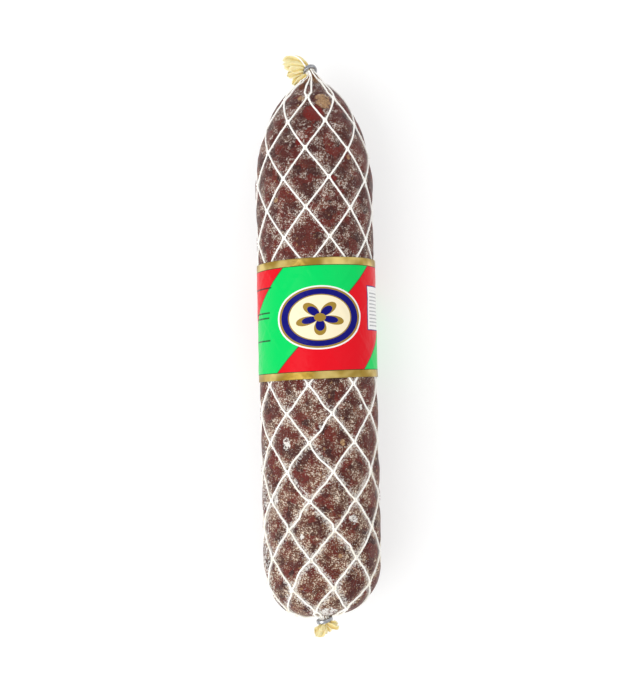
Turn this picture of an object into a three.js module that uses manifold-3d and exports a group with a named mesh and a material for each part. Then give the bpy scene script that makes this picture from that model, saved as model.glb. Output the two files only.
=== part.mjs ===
// A cured sausage: a dry salame chub in its netting, with a paper label band round it and a metal
// clip on each gathered end. It lies on its underside, its axis along Y, its tapered end towards +Y.
// Millimetres, +Z up. The origin is on the surface it rests on, under the middle of its box.
import * as THREE from "three";
import { LoftGeometry } from "three/addons/geometries/LoftGeometry.js";
import { mergeVertices } from "three/addons/utils/BufferGeometryUtils.js";
import Module from "manifold-3d";

const wasm = await Module();
wasm.setup();

// Driving dimensions
const gap = 0.3; // clearance between pieces that touch in the real sausage
const fillingGap = 0.5; // the same, between the casing and the meat
const body = { length: 348.7, radius: 37.2 }; // neck to neck, and the casing's outer radius
const flattening = 1.3; // how far its own weight presses the underside flat
const neckRadius = 1.8; // the casing where the clips gather it
const casingWall = 0.6;
const cord = 1.2; // diameter of the netting cord
const cells = 8; // net meshes round the girth
const rowPitch = 18.4; // from one row of knots to the next, along the surface
const shortestEnd = 25; // of cord between the outer knots and the necks
const knotSpacing = 0.8; // between the two cords of a knot, in cord diameters
const label = { width: 75.8, paper: 0.3, fromTaper: 159.7, seam: 123.75, lapFacets: 2 };
const clip = { thickness: 2, width: 3, clearance: 0.4, gapAngle: 20 }; // gap: between its legs' ends
const cordEnds = 1.2; // the bunched cords stand this far out past each clip

// The two ends: how deep each dome is, and the powers that make it blunt or tapered.
const bluntDome = { depth: 39, lengthPower: 0.95, widthPower: 0.7 };
const taperDome = { depth: 72, lengthPower: 1, widthPower: 1.24 };

// The casing past each end of the body: a Bezier spine, the length of neck between the netting's
// shoulder and the clip, and the pleated fan that the film opens into.
const bluntTail = {
  spine: [[0, 0, 0], [0.2, -5, 0.5], [1.6, -9, 1], [5, -13, 0]],
  neckLength: 1.5,
  halfWidth: 8.5,
  halfHeight: 2.6,
};
const taperTail = {
  spine: [[0, 0, 0], [0, 6, 0.6], [-1, 12, 7], [-18, 6.5, 11]],
  neckLength: 3.9,
  halfWidth: 8.5,
  halfHeight: 2.4,
};
const pleatDepth = 0.16; // of the fan's half width and height
const pleats = 8;

// Mesh fineness: flat facets round the girth, four to each net cell so that knots fall on edges
const facets = 4 * cells;
const facetAngle = (2 * Math.PI) / facets;
const tailSteps = 4;
const cordSides = 4;

// Offsets outwards from the casing's outer face
const cordCentre = gap + cord / 2;
const cordOuter = gap + cord;
const labelInner = cordOuter + gap;
const restDepth = body.radius - flattening; // the axis above the casing's flattened underside

// Distances past the body's end along a tail's spine
const neckStart = cordOuter + 2 * gap; // clear of the netting's shoulder
const clipAt = (tail) => cordOuter + tail.neckLength + clip.width / 2;

const along = new THREE.Vector3(0, 1, 0);

// A ring of points round a centre, square to its heading, starting at the top and turning to +X.
function ring({ centre, heading = along, width, height, pleat = 0 }, offset) {
  const turn = new THREE.Quaternion().setFromUnitVectors(along, heading);
  return Array.from({ length: facets }, (_, i) => {
    const angle = i * facetAngle;
    const fold = 1 + pleat * Math.cos(pleats * angle);
    const x = (width + offset) * Math.sin(angle) * fold;
    const z = Math.max((height + offset) * Math.cos(angle) * fold, -(restDepth + offset));
    return new THREE.Vector3(x, 0, z).applyQuaternion(turn).add(centre);
  });
}

// Distance from the neck and radius of a dome, from turn 0 at the neck to a quarter turn at full
// girth: a superellipse whose depth and radii both grow by the offset.
function dome({ depth, lengthPower, widthPower }, turn, offset) {
  const rise = Math.cos(turn) ** lengthPower;
  const spread = Math.sin(turn) ** widthPower;
  return {
    distance: depth - (depth + offset) * rise,
    radius: neckRadius + offset + (body.radius - neckRadius) * spread,
  };
}

// The skin's outline along the body, at an offset: radius against length, blunt neck to tapered
// neck, with a third of the parameter each for the blunt dome, the straight middle and the taper.
class Outline extends THREE.Curve {
  constructor(offset = 0) {
    super();
    this.offset = offset;
    this.arcLengthDivisions = 900;
  }

  getPoint(t, target = new THREE.Vector2()) {
    const third = 3 * t;
    const quarterTurn = Math.PI / 2;
    if (third <= 1) {
      const { distance, radius } = dome(bluntDome, third * quarterTurn, this.offset);
      return target.set(radius, distance);
    }
    if (third >= 2) {
      const { distance, radius } = dome(taperDome, (3 - third) * quarterTurn, this.offset);
      return target.set(radius, body.length - distance);
    }
    const start = bluntDome.depth;
    const end = body.length - taperDome.depth;
    return target.set(body.radius + this.offset, THREE.MathUtils.lerp(start, end, third - 1));
  }
}

const outline = new Outline();
const outlineLength = outline.getLength();
const knotRows = 1 + Math.floor((outlineLength - 2 * shortestEnd) / rowPitch);
const firstKnot = (outlineLength - (knotRows - 1) * rowPitch) / 2;
const atLength = (length) => outline.getUtoTmapping(length / outlineLength);

// Places along the outline, as parameters: knots and the half-way points between them, with two
// more between the outer knots and the necks, and one where the cords bunch together.
const bunchLength = 3;
const halfSteps = 2 * (knotRows - 1);
const knotPlaces = Array.from({ length: halfSteps + 1 }, (_, i) => {
  return atLength(firstKnot + (i * rowPitch) / 2);
});
const endRun = [bunchLength, firstKnot / 3, (2 * firstKnot) / 3];
const bluntRun = endRun.map(atLength);
const taperRun = endRun.map((length) => atLength(outlineLength - length)).reverse();
const cordPlaces = [...bluntRun, ...knotPlaces, ...taperRun];
const isOnDome = (t) => t < 1 / 3 || t > 2 / 3;
const skinPlaces = [0, ...cordPlaces.filter(isOnDome), 1 / 3, 2 / 3, 1].sort((a, b) => a - b);

// A ring of the skin at a place along the outline.
function bodyRing(t, offset) {
  const { x: radius, y } = new Outline(offset).getPoint(t);
  const across = radius - offset;
  return ring({ centre: new THREE.Vector3(0, y, 0), width: across, height: across }, offset);
}

// A tail's spine, from the body's end outwards.
function tailSpine(tail, bodyEnd) {
  const points = tail.spine.map(([x, y, z]) => new THREE.Vector3(x, y + bodyEnd, z));
  return new THREE.CubicBezierCurve3(...points);
}

const bluntSpine = tailSpine(bluntTail, 0);
const taperSpine = tailSpine(taperTail, body.length);

// A frame on a tail's spine at a distance past the body's end, heading towards +Y along the whole
// sausage: sign is -1 on the blunt tail and 1 on the tapered one.
function tailFrame(spine, distance, sign) {
  const u = distance / spine.getLength();
  return { centre: spine.getPointAt(u), heading: spine.getTangentAt(u).multiplyScalar(sign) };
}

// Rings of the gathered neck, round and of one radius, from the body's end to where the cords end.
function neckRings(tail, spine, sign, offset) {
  const edge = clip.width / 2;
  const places = [neckStart, ...[-edge, 0, edge + cordEnds].map((past) => clipAt(tail) + past)];
  return places.map((distance) => {
    return ring({ ...tailFrame(spine, distance, sign), width: neckRadius, height: neckRadius }, offset);
  });
}

// Rings of a whole tail, body's end first: the neck through the clip, then the pleated fan.
function tailRings(tail, spine, sign, offset) {
  const neck = neckRings(tail, spine, sign, offset);
  const fanStart = clipAt(tail) + clip.width / 2 + cordEnds + 2 * gap;
  const fan = Array.from({ length: tailSteps + 1 }, (_, i) => {
    const open = i / tailSteps;
    const distance = THREE.MathUtils.lerp(fanStart, spine.getLength(), open);
    const width = THREE.MathUtils.lerp(neckRadius, tail.halfWidth, Math.sin((open * Math.PI) / 2));
    const height = THREE.MathUtils.lerp(neckRadius, tail.halfHeight, open);
    const pleat = pleatDepth * open;
    return ring({ ...tailFrame(spine, distance, sign), width, height, pleat }, offset);
  });
  return [...neck, ...fan];
}

// Every ring of one face of the casing, blunt tail to tapered tail.
function casingFace(offset) {
  return [
    ...tailRings(bluntTail, bluntSpine, -1, offset).reverse(),
    ...skinPlaces.map((t) => bodyRing(t, offset)),
    ...tailRings(taperTail, taperSpine, 1, offset),
  ];
}

// A bar of one section along points, each with its outward normal; the corners are mitred.
function bar(path, section) {
  const directions = path.slice(1).map(({ point }, i) => point.clone().sub(path[i].point).normalize());
  const sections = path.map(({ point, normal }, i) => {
    const before = directions[Math.max(i - 1, 0)];
    const after = directions[Math.min(i, directions.length - 1)];
    const heading = before.clone().add(after).normalize();
    const side = heading.clone().cross(normal).normalize().divideScalar(heading.dot(before));
    const out = side.clone().cross(heading).normalize();
    return section.map(([up, across]) => {
      return point.clone().addScaledVector(out, up).addScaledVector(side, across);
    });
  });
  return new LoftGeometry(sections, { capStart: true, capEnd: true });
}

// A round section of so many sides.
function roundSection(radius, sides) {
  return Array.from({ length: sides }, (_, i) => {
    const angle = (i * 2 * Math.PI) / sides;
    return [radius * Math.cos(angle), radius * Math.sin(angle)];
  });
}

function toSolid(geometry) {
  const bare = new THREE.BufferGeometry();
  bare.setAttribute("position", geometry.getAttribute("position"));
  bare.setIndex(geometry.getIndex());
  const merged = mergeVertices(bare, 1e-4);
  const vertProperties = merged.attributes.position.array;
  const triVerts = new Uint32Array(merged.index.array);
  return new wasm.Manifold(new wasm.Mesh({ numProp: 3, vertProperties, triVerts }));
}

function toGeometry(solid) {
  const { vertProperties, triVerts } = solid.getMesh();
  const geometry = new THREE.BufferGeometry();
  geometry.setAttribute("position", new THREE.BufferAttribute(vertProperties, 3));
  geometry.setIndex(new THREE.BufferAttribute(triVerts, 1));
  geometry.computeVertexNormals();
  return geometry;
}

// The cured meat: one solid that fills the casing, closed at both necks.
function meatFilling() {
  const rings = skinPlaces.map((t) => bodyRing(t, -(casingWall + fillingGap)));
  return new LoftGeometry(rings, { capStart: true, capEnd: true });
}

// The casing: one film, outer face and inner face, joined at the open ends of the two tails.
function casing() {
  const outer = casingFace(0);
  const inner = casingFace(-casingWall).reverse();
  return new LoftGeometry([...outer, ...inner, outer[0]]);
}

// One cord of the netting, zigzagging about its own line along the body. Cords side by side swing
// opposite ways, so that each meets its left and right neighbours in turn, at the knots.
function netCord(index) {
  const line = (index * Math.PI) / cells;
  const path = cordPlaces.map((t, place) => {
    const { x: radius, y } = new Outline(cordCentre).getPoint(t);
    const half = place - bluntRun.length; // half steps past the first knot
    const isKnot = half >= 0 && half <= halfSteps && half % 2 === 0;
    const side = (index + half / 2) % 2 === 0 ? -1 : 1;
    const swing = isKnot ? side * (facetAngle - (knotSpacing * cord) / 2 / radius) : 0;
    const angle = line + swing;
    const normal = new THREE.Vector3(Math.sin(angle), 0, Math.cos(angle));
    const point = normal.clone().multiplyScalar(radius);
    point.y = y;
    point.z = Math.max(point.z, -(restDepth + cordCentre));
    return { point, normal };
  });
  return bar(path, roundSection(cord / 2, cordSides));
}

// The cords bunched round one neck, as one sleeve that passes through the clip.
function cordBunch(tail, spine, sign, places) {
  const face = (offset) => [
    ...places.map((t) => bodyRing(t, offset)),
    ...neckRings(tail, spine, sign, offset),
  ];
  const outer = face(cordOuter);
  const loop = [...outer, ...face(gap).reverse(), outer[0]];
  return new LoftGeometry(sign > 0 ? loop : loop.reverse());
}

// The netting: one knitted sleeve, its cords joined at the knots and bunched at both ends.
function netting() {
  const rim = bunchLength + cord;
  const parts = Array.from({ length: 2 * cells }, (_, i) => netCord(i));
  parts.push(cordBunch(bluntTail, bluntSpine, -1, [atLength(rim), 0]));
  parts.push(cordBunch(taperTail, taperSpine, 1, [atLength(outlineLength - rim), 1]));
  return toGeometry(parts.map(toSolid).reduce((sleeve, piece) => sleeve.add(piece)));
}

// The label: one strip of paper wrapped once round, its end lapped over its start.
function labelBand() {
  const last = facets + label.lapFacets;
  const seam = Math.round(THREE.MathUtils.degToRad(label.seam) / facetAngle);
  const face = (y, offset) => {
    const round = { centre: new THREE.Vector3(0, y, 0), width: body.radius, height: body.radius };
    const under = ring(round, offset);
    const lap = ring(round, offset + label.paper + gap);
    return Array.from({ length: last + 1 }, (_, i) => (i < facets ? under : lap)[(seam + i) % facets]);
  };
  const strip = (y) => [...face(y, labelInner + label.paper), ...face(y, labelInner).reverse()];
  const centre = body.length - label.fromTaper;
  const ends = [centre - label.width / 2, centre + label.width / 2];
  return new LoftGeometry(ends.map(strip), { capStart: true, capEnd: true });
}

// A clip: flat wire bent round the bunched cords, its two legs meeting underneath.
function clipLoop() {
  const inner = neckRadius + cordOuter + clip.clearance;
  const middle = inner + clip.thickness / 2;
  const steps = 20;
  const start = Math.PI + THREE.MathUtils.degToRad(clip.gapAngle) / 2;
  const sweep = 2 * Math.PI - THREE.MathUtils.degToRad(clip.gapAngle);
  const path = Array.from({ length: steps + 1 }, (_, i) => {
    const angle = start + (i / steps) * sweep;
    const normal = new THREE.Vector3(Math.sin(angle), 0, Math.cos(angle));
    return { point: normal.clone().multiplyScalar(middle), normal };
  });
  const [up, across] = [clip.thickness / 2, clip.width / 2];
  const round = 0.6; // corner of the wire's section
  const section = [
    [up, -across + round], [up, across - round], [up - round, across], [-up + round, across],
    [-up, across - round], [-up, -across + round], [-up + round, -across], [up - round, -across],
  ];
  return bar(path, section);
}

const group = new THREE.Group();

function addPiece(name, geometry, color, roughness, metalness = 0) {
  const material = new THREE.MeshStandardMaterial({ color, roughness, metalness });
  const mesh = new THREE.Mesh(geometry, material);
  mesh.name = name;
  group.add(mesh);
  return mesh;
}

function addClip(name, tail, spine, sign) {
  const { centre, heading } = tailFrame(spine, clipAt(tail), sign);
  const mesh = addPiece(name, clipLoop(), 0xc9ccce, 0.3, 1);
  mesh.position.copy(centre);
  mesh.quaternion.setFromUnitVectors(along, heading);
}

addPiece("meat_filling", meatFilling(), 0x6d2018, 0.6);
addPiece("casing", casing(), 0x7a4a3c, 0.45);
addPiece("netting", netting(), 0xe8e2d2, 0.85);
addPiece("label_band", labelBand(), 0x0a9a50, 0.3);
addClip("top_clip", taperTail, taperSpine, 1);
addClip("bottom_clip", bluntTail, bluntSpine, -1);

// Stand it on its underside, with the origin under the middle of its box.
const box = new THREE.Box3().setFromObject(group, true);
const boxCentre = box.getCenter(new THREE.Vector3());
group.position.set(-boxCentre.x, -boxCentre.y, -box.min.z);

export default group;
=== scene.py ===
import math

import bmesh
import bpy
import numpy as np
from mathutils import Matrix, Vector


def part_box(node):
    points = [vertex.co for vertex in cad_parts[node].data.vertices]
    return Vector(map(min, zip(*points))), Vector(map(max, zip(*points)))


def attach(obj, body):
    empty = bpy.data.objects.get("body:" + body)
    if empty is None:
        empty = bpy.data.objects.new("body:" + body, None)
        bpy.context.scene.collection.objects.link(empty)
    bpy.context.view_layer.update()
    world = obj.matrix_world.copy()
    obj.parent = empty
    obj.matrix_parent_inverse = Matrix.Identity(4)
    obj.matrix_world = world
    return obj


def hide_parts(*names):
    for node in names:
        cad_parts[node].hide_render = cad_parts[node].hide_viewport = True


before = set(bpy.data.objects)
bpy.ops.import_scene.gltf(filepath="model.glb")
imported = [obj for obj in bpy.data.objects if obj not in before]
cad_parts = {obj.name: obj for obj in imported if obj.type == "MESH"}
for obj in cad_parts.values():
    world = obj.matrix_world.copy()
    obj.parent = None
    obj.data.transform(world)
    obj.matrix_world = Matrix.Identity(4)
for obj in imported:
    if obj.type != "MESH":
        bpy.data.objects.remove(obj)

bl_info = {
    "name": "Netted Cured Sausage",
    "version": (1, 0, 0),
    "blender": (4, 5, 0),
    "location": "View3D > Sidebar > Sausage",
    "description": "Builds a dry-cured sausage in its casing, netting and label band",
    "category": "Add Mesh",
}

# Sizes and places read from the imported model's own boxes, in metres.
CASING_LOW, CASING_HIGH = (np.array(corner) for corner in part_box("casing"))
MEAT_LOW, MEAT_HIGH = (np.array(corner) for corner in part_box("meat_filling"))
NET_HIGH = np.array(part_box("netting")[1])
LABEL_LOW, LABEL_HIGH = (np.array(corner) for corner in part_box("label_band"))
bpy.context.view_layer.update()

MM = 0.001
UP = np.array([0.0, 0.0, 1.0])
CLEARANCE = 0.3 * MM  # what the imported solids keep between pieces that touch
RADIUS = CASING_HIGH[0]
AXIS_HEIGHT = CASING_HIGH[2] - RADIUS
REST_DEPTH = AXIS_HEIGHT - CASING_LOW[2]
MEAT_INSET = RADIUS - MEAT_HIGH[0]
BLUNT_END = MEAT_LOW[1] - MEAT_INSET
TAPER_END = MEAT_HIGH[1] + MEAT_INSET
LENGTH = TAPER_END - BLUNT_END
CORD = NET_HIGH[0] - RADIUS - CLEARANCE
LABEL_RADIUS = LABEL_HIGH[0]
LABEL_CENTRE = (LABEL_LOW[1] + LABEL_HIGH[1]) / 2
LABEL_WIDTH = LABEL_HIGH[1] - LABEL_LOW[1]

# The ends of the body: depth of each dome and the powers that make it blunt or tapered.
NECK_RADIUS = 1.8 * MM
BLUNT_DOME = {"depth": 39 * MM, "length_power": 0.95, "width_power": 0.7}
TAPER_DOME = {"depth": 72 * MM, "length_power": 1.0, "width_power": 1.24}

# One shoulder of the blunt end is packed less full and is drawn in towards the middle; the other is
# packed fuller and stands out.
SHOULDER_PULL = 0.8 * MM
SHOULDER_PUSH = 2.0 * MM
SHOULDER_REACH = 60 * MM

# The spines of the gathered tails, as Bezier points from each end of the body, and the distance
# along them of each clip.
BLUNT_SPINE = np.array([[0, 0, 0], [0.2, -5, 0.5], [1.6, -9, 1], [5, -13, 0]]) * MM
TAPER_SPINE = np.array([[0, 0, 0], [0, 6, 0.6], [-1, 12, 7], [-18, 6.5, 11]]) * MM
BLUNT_CLIP_AT = 4.5 * MM
TAPER_CLIP_AT = 6.9 * MM


# Numbers: noise and steps as whole arrays

def smooth_step(value, low, high):
    """Rises from 0 at low to 1 at high, level at both: t squared times (3 - 2 t)."""
    t = np.clip((value - low) / (high - low), 0.0, 1.0)
    return t * t * (3 - 2 * t)


def lattice_values(cells, seed):
    """A number from -1 to 1 for each whole-number cell, from a multiply-and-xor hash."""
    mixed = cells[..., 0] * 374761393 + cells[..., 1] * 668265263 + cells[..., 2] * 1440662683
    mixed = (mixed + seed * 1274126177) & 0xFFFFFFFF
    mixed = ((mixed ^ (mixed >> 13)) * 1274126177) & 0xFFFFFFFF
    return ((mixed ^ (mixed >> 16)) & 0xFFFF) / 32767.5 - 1


def noise(points, cell, seed=0):
    """Value noise from -1 to 1: the eight corners of each cell of a cubic lattice, blended smoothly."""
    scaled = np.asarray(points) / cell
    base = np.floor(scaled).astype(np.int64)
    part = scaled - base
    blend = part * part * (3 - 2 * part)
    total = 0.0
    for corner in np.ndindex(2, 2, 2):
        weight = np.prod(np.where(corner, blend, 1 - blend), axis=-1)
        total = total + weight * lattice_values(base + np.array(corner), seed)
    return total


# The body: its outline, its spine, and points on and off its skin

def dome_outline(dome, turn):
    """Distance from the neck and radius of a dome, from turn 0 at the neck to a quarter turn at full
    girth: a superellipse, depth times 1 - cos^a, and radius neck to full as sin^b of the turn."""
    distance = dome["depth"] * (1 - np.cos(turn) ** dome["length_power"])
    radius = NECK_RADIUS + (RADIUS - NECK_RADIUS) * np.sin(turn) ** dome["width_power"]
    return distance, radius


def make_outline():
    """The outline as a table: arc length from the blunt neck, place along the spine, and radius.
    The two domes and the straight middle are joined, necks are added at both ends, the whole is
    sampled evenly, the gather at the tapered neck is a cone up to its clip, and a short moving average
    rounds the corners where the necks begin."""
    turn = np.linspace(0, math.pi / 2, 4000)
    blunt_place, blunt_radius = dome_outline(BLUNT_DOME, turn)
    taper_place, taper_radius = dome_outline(TAPER_DOME, turn)
    place = np.concatenate([blunt_place, LENGTH - taper_place[::-1]])
    radius = np.concatenate([blunt_radius, taper_radius[::-1]])
    arc = np.concatenate([[0], np.cumsum(np.hypot(np.diff(place), np.diff(radius)))])
    length = arc[-1]
    gather_start, gather_reach, gather_tip, gather_slope = 6 * MM, 5 * MM, 2.2 * MM, 0.85
    step = 0.1 * MM
    neck = 20 * MM
    even = np.arange(-neck, length + neck, step)
    places = np.interp(even, arc, place) + np.minimum(even, 0) + np.maximum(even - length, 0)
    radii = np.interp(even, arc, radius)
    cone = gather_tip + gather_slope * (LENGTH + gather_reach - places)
    near_taper = (places > LENGTH - gather_start) & (places < LENGTH + gather_reach)
    radii = np.where(near_taper, np.maximum(radii, cone), radii)
    window = np.hanning(31)
    window /= window.sum()
    pad = len(window) // 2
    smooth = [np.convolve(np.pad(line, pad, mode="reflect", reflect_type="odd"), window, mode="valid")
              for line in (places, radii)]
    return even, smooth[0], smooth[1], length


ARC, PLACE_AT, RADIUS_AT, ARC_LENGTH = make_outline()
PLACE_SLOPE = np.gradient(PLACE_AT, ARC)
RADIUS_SLOPE = np.gradient(RADIUS_AT, ARC)


def radius_at(arc):
    """The body's radius at an arc length."""
    return np.interp(arc, ARC, RADIUS_AT)


def place_at(arc):
    """The Y of the body at an arc length."""
    return np.interp(arc, ARC, PLACE_AT) + BLUNT_END


def bezier(points, count):
    """Points along a cubic Bezier, its four given points weighted by (1 - t)^3, 3 t (1 - t)^2,
    3 t^2 (1 - t) and t^3 as t goes from 0 to 1."""
    t = np.linspace(0, 1, count)[:, None]
    a, b, c, d = points
    return a * (1 - t) ** 3 + 3 * b * t * (1 - t) ** 2 + 3 * c * t ** 2 * (1 - t) + d * t ** 3


def bezier_table(points):
    """A cubic Bezier sampled finely: distance along it, points and unit headings."""
    line = bezier(points, 400)
    steps = np.linalg.norm(np.diff(line, axis=0), axis=1)
    heading = np.gradient(line, axis=0)
    heading /= np.linalg.norm(heading, axis=1)[:, None]
    return np.concatenate([[0], np.cumsum(steps)]), line, heading


BLUNT_TABLE = bezier_table(BLUNT_SPINE)
TAPER_TABLE = bezier_table(TAPER_SPINE)


def along_tail(table, distance):
    """Point and heading at a distance along a tail's spine; past its tip it goes straight on."""
    arc, line, heading = table
    point = np.stack([np.interp(distance, arc, line[:, i]) for i in range(3)], axis=-1)
    ahead = np.stack([np.interp(distance, arc, heading[:, i]) for i in range(3)], axis=-1)
    beyond = np.maximum(distance - arc[-1], 0)[..., None]
    return point + ahead * beyond, ahead


def turn_with(vector, heading):
    """A vector turned as +Y turns the short way to each heading: v + s x v + s x (s x v) / (1 + c)."""
    start = np.array([0.0, 1.0, 0.0])
    axis = np.cross(start, heading)
    cosine = heading[..., 1:2]
    once = np.cross(axis, vector)
    return vector + once + np.cross(axis, once) / (1 + cosine)


def spine_frame(place):
    """Centre, across and up vectors of the body at places along the spine: straight through the
    body, then along each tail's Bezier."""
    place = np.asarray(place, dtype=float)
    blunt_point, blunt_heading = along_tail(BLUNT_TABLE, -place)
    taper_point, taper_heading = along_tail(TAPER_TABLE, place - LENGTH)
    on_blunt = (place < 0)[..., None]
    on_taper = (place > LENGTH)[..., None]
    straight = np.stack([np.zeros_like(place), np.clip(place, 0, LENGTH), np.zeros_like(place)], -1)
    centre = straight + np.where(on_blunt, blunt_point, 0) + np.where(on_taper, taper_point, 0)
    centre = centre + np.array([0, BLUNT_END, AXIS_HEIGHT])
    heading = np.broadcast_to(np.array([0.0, 1.0, 0.0]), centre.shape)
    heading = np.where(on_blunt, -blunt_heading, heading)
    heading = np.where(on_taper, taper_heading, heading)
    across = turn_with(np.broadcast_to([1.0, 0.0, 0.0], centre.shape), heading)
    up = turn_with(np.broadcast_to([0.0, 0.0, 1.0], centre.shape), heading)
    return centre, across, up


def skin_point(angle, arc, offset):
    """A point off the skin: at an angle from the top, an arc length along the outline, and an offset
    along the outline's normal. The underside is pressed flat, as far out as the offset takes it."""
    angle, arc, offset = np.broadcast_arrays(angle, arc, offset)
    slope_place = np.interp(arc, ARC, PLACE_SLOPE)
    slope_radius = np.interp(arc, ARC, RADIUS_SLOPE)
    size = np.hypot(slope_place, slope_radius)
    radius = radius_at(arc) + offset * slope_place / size
    place = np.interp(arc, ARC, PLACE_AT) - offset * slope_radius / size
    centre, across, up = spine_frame(place)
    sideways = radius * np.sin(angle)
    height = np.maximum(radius * np.cos(angle), -(REST_DEPTH + offset))
    points = centre + across * sideways[..., None] + up * height[..., None]
    shift = (SHOULDER_PULL * smooth_step(sideways, 2 * MM, 26 * MM)
             - SHOULDER_PUSH * smooth_step(-sideways, 2 * MM, 22 * MM))
    drawn_in = shift * (1 - smooth_step(place, 0, SHOULDER_REACH))
    return points + drawn_in[..., None] * np.array([0.0, 1.0, 0.0])


# The net's layout, which the skin, the cords and the label share

NET_CELLS = 8
ROW_PITCH = 18.4 * MM
SHORTEST_END = 25 * MM
KNOT_ROWS = 1 + int((ARC_LENGTH - 2 * SHORTEST_END) / ROW_PITCH)
FIRST_KNOT = (ARC_LENGTH - (KNOT_ROWS - 1) * ROW_PITCH) / 2
HALF_CELL = math.pi / NET_CELLS / 2  # from a cord's own line to its knots, as an angle
NET_TWIST = math.radians(4.2)  # the net turns this far from the blunt neck to the tapered one
STRAND_SPREAD = 0.26  # how far, in rows, the strands past the last knots swing from them
NET_DRIFT = 4 * MM  # the rows in the middle lie this much nearer the blunt end
KNOT_REACH = 1.1 * MM  # from the middle of a knot to each of the turns that bind it
HELD_HEIGHT = 1.25 * MM  # no cord stands further out than this under the label band


def net_row(arc):
    """Rows past the first row of knots, as a real number, with a gentle drift in the middle."""
    return (arc - FIRST_KNOT + NET_DRIFT * np.sin(np.clip(arc / ARC_LENGTH, 0, 1) * math.pi)) / ROW_PITCH


def net_turn(arc):
    """The angle by which the net has turned at an arc length."""
    return NET_TWIST * np.clip(arc / ARC_LENGTH, 0, 1)


def cord_distances(angle, arc):
    """Distance over the skin to the nearest cord of each slant. The cords are where (cells around)
    minus or plus (rows / 2) is whole; past the last knots they run straight to the necks."""
    row = np.clip(net_row(arc), -STRAND_SPREAD, KNOT_ROWS - 1 + STRAND_SPREAD)
    around = (angle - net_turn(arc)) * NET_CELLS / (2 * math.pi) + 0.25
    girth = radius_at(arc) * 2 * math.pi / NET_CELLS
    slope = np.hypot(1 / np.maximum(girth, MM), 0.5 / ROW_PITCH)
    slants = (around - row / 2, around + row / 2)
    return [np.abs(slant - np.round(slant)) / slope for slant in slants]


def valley_depth(angle, arc, width):
    """1 along the cords, falling to 0 in the middle of each mesh, as a pair of bell curves."""
    girth = radius_at(arc)
    narrow = np.minimum(width, 0.35 * girth * 2 * HALF_CELL + 0.2 * MM)
    near, far = (np.exp(-((distance / narrow) ** 2)) for distance in cord_distances(angle, arc))
    return 1 - (1 - near) * (1 - far)


def past_label(arc):
    """Distance past the nearer edge of the label band, below zero under the band."""
    place = place_at(arc)
    return np.abs(place - LABEL_CENTRE) - LABEL_WIDTH / 2


def under_label(arc):
    """1 where the label band presses the skin, fading out past its edges."""
    return 1 - smooth_step(past_label(arc), -3 * MM, 6 * MM)


def held_down(offset, arc, limit):
    """An offset kept below a limit where the label band holds the cords down."""
    pressed = 1 - smooth_step(past_label(arc), 1.5 * MM, 7 * MM)
    return offset - np.maximum(offset - limit, 0) * pressed


def skin_offset(angle, arc, sizes):
    """How far the skin stands out from the casing's outline: a pillow in each mesh of the net, with
    lumps of meat in it, pressed down where the label band is."""
    flat = skin_point(angle, arc, np.zeros(np.broadcast(angle, arc).shape))
    radius = radius_at(arc)
    slack = smooth_step(radius, 6 * MM, 33 * MM)
    pillow = sizes.pillow * (1 - valley_depth(angle, arc, sizes.valley_width)) * slack
    lumps = sizes.lumps * (noise(flat, 9 * MM, 3) + 0.5 * noise(flat, 4 * MM, 5))
    grain = 0.12 * sizes.lumps * noise(flat, 1.7 * MM, 7)
    free = 1 - 0.55 * under_label(arc)
    girth = smooth_step(radius, 3 * MM, 20 * MM)
    folds = np.cos(angle * sizes.pleats + 1.3 * noise(flat, 5 * MM, 9))
    pleat = sizes.pleat_depth * radius * folds * (1 - smooth_step(radius, 3.5 * MM, 15 * MM))
    return (pillow + (lumps * (0.35 + 0.65 * pillow / sizes.pillow) + grain) * girth) * free + pleat


# Meshes from arrays

def grid_quads(rows, columns, wrap_rows=False, wrap_columns=False):
    """The quads of a grid of points stored row by row, each row and column joined to the next."""
    row_count = rows if wrap_rows else rows - 1
    column_count = columns if wrap_columns else columns - 1
    row, column = np.meshgrid(np.arange(row_count), np.arange(column_count), indexing="ij")
    next_row = (row + 1) % rows
    next_column = (column + 1) % columns
    corners = [row * columns + column, row * columns + next_column,
               next_row * columns + next_column, next_row * columns + column]
    return np.stack([corner.ravel() for corner in corners], axis=1)


def tube_faces(rows, columns, first=0):
    """Quads of a tube of rings, and one polygon over each end."""
    caps = [np.arange(columns)[::-1][None] + first, (rows - 1) * columns + np.arange(columns)[None] + first]
    return [grid_quads(rows, columns, wrap_columns=True) + first, *caps]


def add_mesh(name, points, faces, material, attributes=None, smooth=True):
    """An object at the origin from an array of points and arrays of equal-sided faces."""
    mesh = bpy.data.meshes.new(name)
    points = np.asarray(points, dtype=np.float32).reshape(-1, 3)
    corners = np.concatenate([np.asarray(group).ravel() for group in faces]).astype(np.int32)
    sides = np.concatenate([np.full(len(group), np.shape(group)[1]) for group in faces])
    starts = np.concatenate([[0], np.cumsum(sides)[:-1]]).astype(np.int32)
    mesh.vertices.add(len(points))
    mesh.vertices.foreach_set("co", points.ravel())
    mesh.loops.add(len(corners))
    mesh.loops.foreach_set("vertex_index", corners)
    mesh.polygons.add(len(sides))
    mesh.polygons.foreach_set("loop_start", starts)
    mesh.polygons.foreach_set("use_smooth", np.full(len(sides), smooth))
    mesh.update(calc_edges=True)
    for label, values in (attributes or {}).items():
        layer = mesh.attributes.new(label, "FLOAT_VECTOR", "POINT")
        layer.data.foreach_set("vector", np.asarray(values, dtype=np.float32).ravel())
    mesh.materials.append(material)
    piece = bpy.data.objects.new(name, mesh)
    bpy.context.scene.collection.objects.link(piece)
    return piece


def register_piece(piece, node):
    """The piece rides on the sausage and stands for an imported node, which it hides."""
    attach(piece, "root")
    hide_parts(node)


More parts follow.
